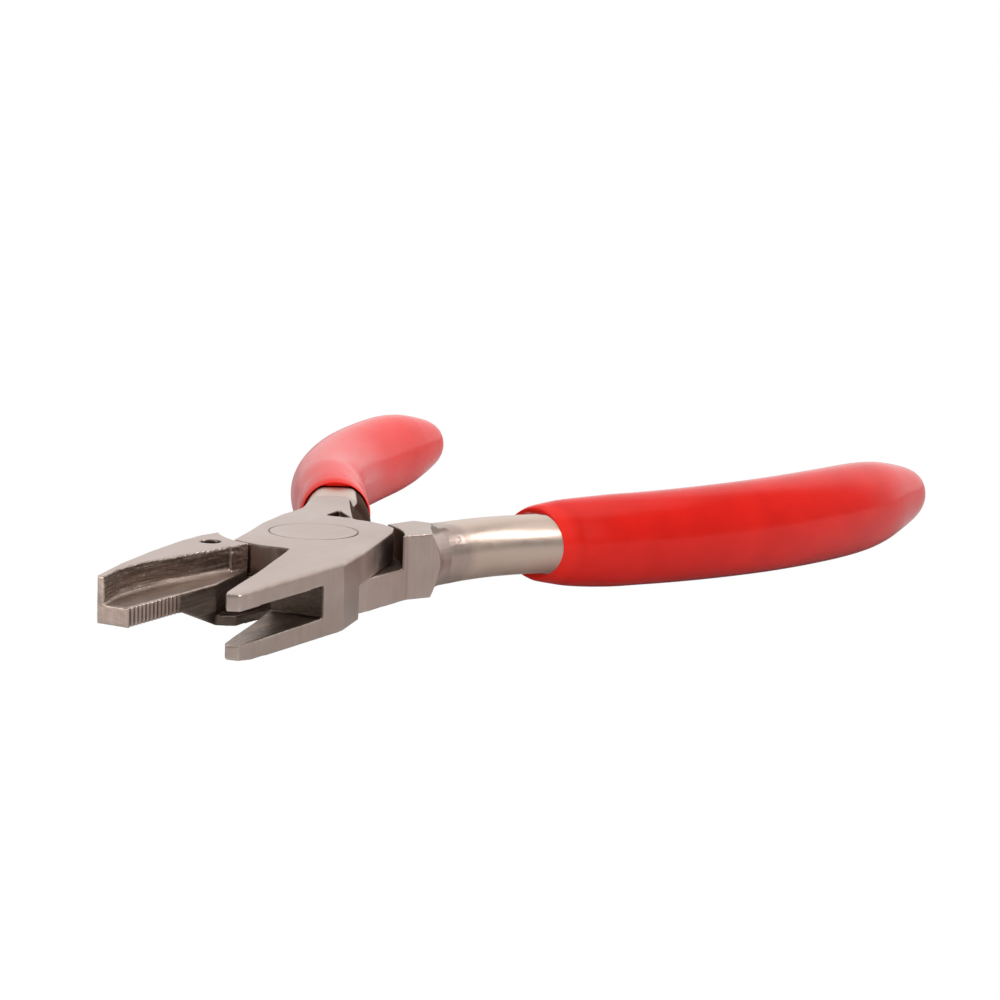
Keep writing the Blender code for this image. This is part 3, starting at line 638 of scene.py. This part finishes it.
def fine_grip(name, node, path, mouth_x, dip_angle, lip, lip_width, swell, flatten, bore, mat):
    """A smooth dipped sleeve with a rolled lip, whose first rings lean to the slanted dip line."""
    line = catmull(path, 60)
    step = np.linalg.norm(np.diff(line, axis=0), axis=1)
    far = np.concatenate([[0.0], np.cumsum(step)])
    mouth = float(np.interp(-mouth_x, -line[:, 0], far))
    length = far[-1] - mouth
    sleeve = [(share, half * swell) for share, half in HALF_HEIGHT]
    outline = catmull([(share * length, half) for share, half in lip + sleeve], 16)
    outline = outline[(outline[:, 0] > 0.6) & (outline[:, 1] > 0.02)]
    outline[:, 0] = np.minimum(outline[:, 0], length)
    dip = np.array((math.cos(math.radians(dip_angle)), math.sin(math.radians(dip_angle))))
    angle = np.arange(SIDES) * 2.0 * math.pi / SIDES

    def ring(s, half, width, flat=None):
        """One ring s millimetres along the middle line; flat cuts it off above and below."""
        here = np.array([np.interp(s, far, line[:, k]) for k in (0, 1)])
        nearby = np.array([np.interp(s + 0.4, far, line[:, k]) - np.interp(s - 0.4, far, line[:, k])
                           for k in (0, 1)])
        ahead = nearby / np.linalg.norm(nearby)
        lean = float(fade(np.array([s - mouth]), LEAN_LENGTH, 0.0)[0])
        face = ahead * (1.0 - lean) + dip * lean
        face = face / np.linalg.norm(face)
        side = np.array((-face[1], face[0])) / float(face @ ahead)
        up = half * np.sin(angle)
        if flat:
            up = np.clip(up, -flat, flat)
        out = width * np.cos(angle)
        return np.stack([here[0] + side[0] * out, here[1] + side[1] * out, MID + up], axis=1)

    rings = []
    inner, flat = bore
    # the inside of the bore, then the rolled lip, then the outer skin
    for depth in (7.0, 5.0, 3.0, 1.8, 1.0):
        rings.append(ring(mouth + depth, inner, inner, flat))
    first = lip[0][1]
    for k in range(1, 10):
        turn = math.pi * k / 10
        t = 0.5 - 0.5 * math.cos(turn)
        height = (flat + 0.05) * (1.0 - t) + first * t
        width = inner * (1.0 - t) + lip_width * t
        squeeze = None if t > 0.35 else flat + (first - flat) * t * 1.3
        tall = max(height, inner * (1 - t) + first * t)
        rings.append(ring(mouth + LIP_ROLL * (1.0 - math.sin(turn)), tall, width, squeeze))
    for s, half in outline:
        spread = (lip_width - first * flatten) * float(fade(np.array([s]), LIP_LENGTH, 0.0)[0])
        rings.append(ring(mouth + s, half, half * flatten + spread))
    obj = mesh_object(name, *tube(rings))
    obj.data.materials.append(mat)
    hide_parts(node)
    return obj


near = fine_grip("near_grip_fine", "near_grip", NEAR_PATH, NEAR_MOUTH[0], NEAR_DIP, NEAR_LIP, lip_width=4.58,
                 swell=1.0, flatten=0.84, bore=(4.62, 4.32), mat=near_pvc)
far = fine_grip("far_grip_fine", "far_grip", FAR_PATH, FAR_MOUTH[0], FAR_DIP, FAR_LIP, lip_width=5.25,
                swell=0.97, flatten=0.88, bore=(4.92, 4.32), mat=far_pvc_painted_lighter)

bodies = {node: name for name, nodes in (("lower_half", ("lower_lever", "rivet", "near_grip")),
                                         ("upper_half", ("upper_lever", "far_grip"))) for node in nodes}
for piece, node in ((lower, "lower_lever"), (upper, "upper_lever"), (rivet, "rivet"), (near, "near_grip"),
                    (far, "far_grip")):
    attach(piece, bodies[node])

# ---------------------------------------------------------------- floor and light
FLOOR_HALF = 6.0       # metres
FLOOR_GAP = 0.00005    # metres below the grips
CORNERS = ((-1, -1), (1, -1), (1, 1), (-1, 1))
floor_mesh = bpy.data.meshes.new("floor")
floor_points = [(sx * FLOOR_HALF, sy * FLOOR_HALF, FLOOR_Z - FLOOR_GAP) for sx, sy in CORNERS]
floor_mesh.from_pydata(floor_points, [], [(0, 1, 2, 3)])
floor = bpy.data.objects.new("floor", floor_mesh)
scene.collection.objects.link(floor)
FLOOR_TONE = 0.55      # what the tool sees of the white sheet it rests on
PAPER_GLOW = 1.01      # what the camera sees of it is plain white
PAPER_SHARE = 0.985    # with a trace of the tool's own shadow
n = Nodes("floor")
sheet = n.add("ShaderNodeBsdfDiffuse", Color=(FLOOR_TONE, FLOOR_TONE, FLOOR_TONE))
paper = n.add("ShaderNodeEmission", Color=WHITE, Strength=PAPER_GLOW)
seen = n.tree.nodes.new("ShaderNodeLightPath").outputs["Is Camera Ray"]
blend = n.tree.nodes.new("ShaderNodeMixShader")
n.tree.links.new(n.math('MULTIPLY', seen, PAPER_SHARE), blend.inputs[0])
n.tree.links.new(sheet.outputs[0], blend.inputs[1])
n.tree.links.new(paper.outputs[0], blend.inputs[2])
n.tree.links.new(blend.outputs[0], n.out.inputs[0])
floor_mesh.materials.append(n.mat)

world = bpy.data.worlds.new("studio")
scene.world = world
world.use_nodes = True
tree = world.node_tree
tree.nodes.clear()
sky_out = tree.nodes.new("ShaderNodeOutputWorld")
sky = tree.nodes.new("ShaderNodeBackground")
sky.inputs["Color"].default_value = (1.0, 1.0, 1.0, 1.0)
tree.links.new(sky.outputs[0], sky_out.inputs[0])
direction = tree.nodes.new("ShaderNodeTexCoord").outputs["Generated"]


def sky_span(value, low, high, to_low, to_high):
    node = tree.nodes.new("ShaderNodeMapRange")
    node.interpolation_type = 'SMOOTHSTEP'
    tree.links.new(value, node.inputs["Value"])
    for key, number in (("From Min", low), ("From Max", high), ("To Min", to_low), ("To Max", to_high)):
        node.inputs[key].default_value = number
    return node.outputs[0]


def sky_dot(vector):
    node = tree.nodes.new("ShaderNodeVectorMath")
    node.operation = 'DOT_PRODUCT'
    tree.links.new(direction, node.inputs[0])
    node.inputs[1].default_value = vector
    return node.outputs["Value"]


def sky_math(operation, a, b):
    node = tree.nodes.new("ShaderNodeMath")
    node.operation = operation
    for slot, value in ((0, a), (1, b)):
        if isinstance(value, bpy.types.NodeSocket):
            tree.links.new(value, node.inputs[slot])
        else:
            node.inputs[slot].default_value = value
    return node.outputs[0]


def towards(azimuth, elevation):
    """The direction at an azimuth and an elevation in degrees."""
    a, e = math.radians(azimuth), math.radians(elevation)
    return (math.cos(e) * math.cos(a), math.cos(e) * math.sin(a), math.sin(e))


# what reflections show: the room is dark apart from the white backdrop and a ceiling panel
DARK = 0.28
BACKDROP_AZIMUTH = 207.5
BACKDROP_EDGE = (0.36, 0.64)   # cosines of the angles at which each one fades in
PANEL_EDGE = (0.62, 0.93)
backdrop = sky_span(sky_dot(towards(BACKDROP_AZIMUTH, 0.0)), *BACKDROP_EDGE, DARK, 1.0)
panel = sky_span(sky_dot((0.0, 0.0, 1.0)), *PANEL_EDGE, 0.0, 1.0)
strength = sky_math('MAXIMUM', backdrop, panel)
camera_sees = tree.nodes.new("ShaderNodeLightPath").outputs["Is Camera Ray"]
strength = sky_math('MAXIMUM', strength, camera_sees)
tree.links.new(strength, sky.inputs["Strength"])


def area_light(name, at, size, power, glossy=True, aim=(0.0, 0.0, 0.0)):
    data = bpy.data.lights.new(name, 'AREA')
    data.shape = 'RECTANGLE'
    data.size, data.size_y = size
    data.energy = power
    lamp = bpy.data.objects.new(name, data)
    scene.collection.objects.link(lamp)
    lamp.location = at
    lamp.rotation_euler = (Vector(aim) - Vector(at)).to_track_quat('-Z', 'Y').to_euler()
    lamp.visible_glossy = glossy
    return lamp


LAMP_RANGE = 0.9   # metres from the joint
# broad soft fills that light everything but make no highlight of their own
area_light("overhead", at=(-0.15, 0.1, 0.9), size=(0.9, 0.9), power=3.5, glossy=False)
area_light("front_fill", at=(0.55, 0.85, 0.55), size=(0.8, 0.8), power=7.0, glossy=False)
# a strip on the near side is kept off the plastic and only draws the long highlight on bare steel
strip = area_light("strip", at=Vector(towards(108.0, 39.0)) * LAMP_RANGE, size=(0.62, 0.15), power=2.8)
steel_only = bpy.data.collections.new("steel_only")
for piece in (lower, upper, rivet):
    steel_only.objects.link(piece)
strip.light_linking.receiver_collection = steel_only
# a low warm lamp off the jaw end lights the L jaw's tip face, and only the lower lever
kicker = area_light("kicker", at=Vector(towards(-27.0, 7.0)) * LAMP_RANGE, size=(0.40, 0.30), power=1.5)
kicker.data.color = (1.0, 0.94, 0.88)
jaw_only = bpy.data.collections.new("jaw_only")
jaw_only.objects.link(lower)
kicker.light_linking.receiver_collection = jaw_only
# the near grip is left out of reflections, since matt ground steel shows no red of it
near.visible_glossy = False

scene.view_settings.view_transform = 'Standard'
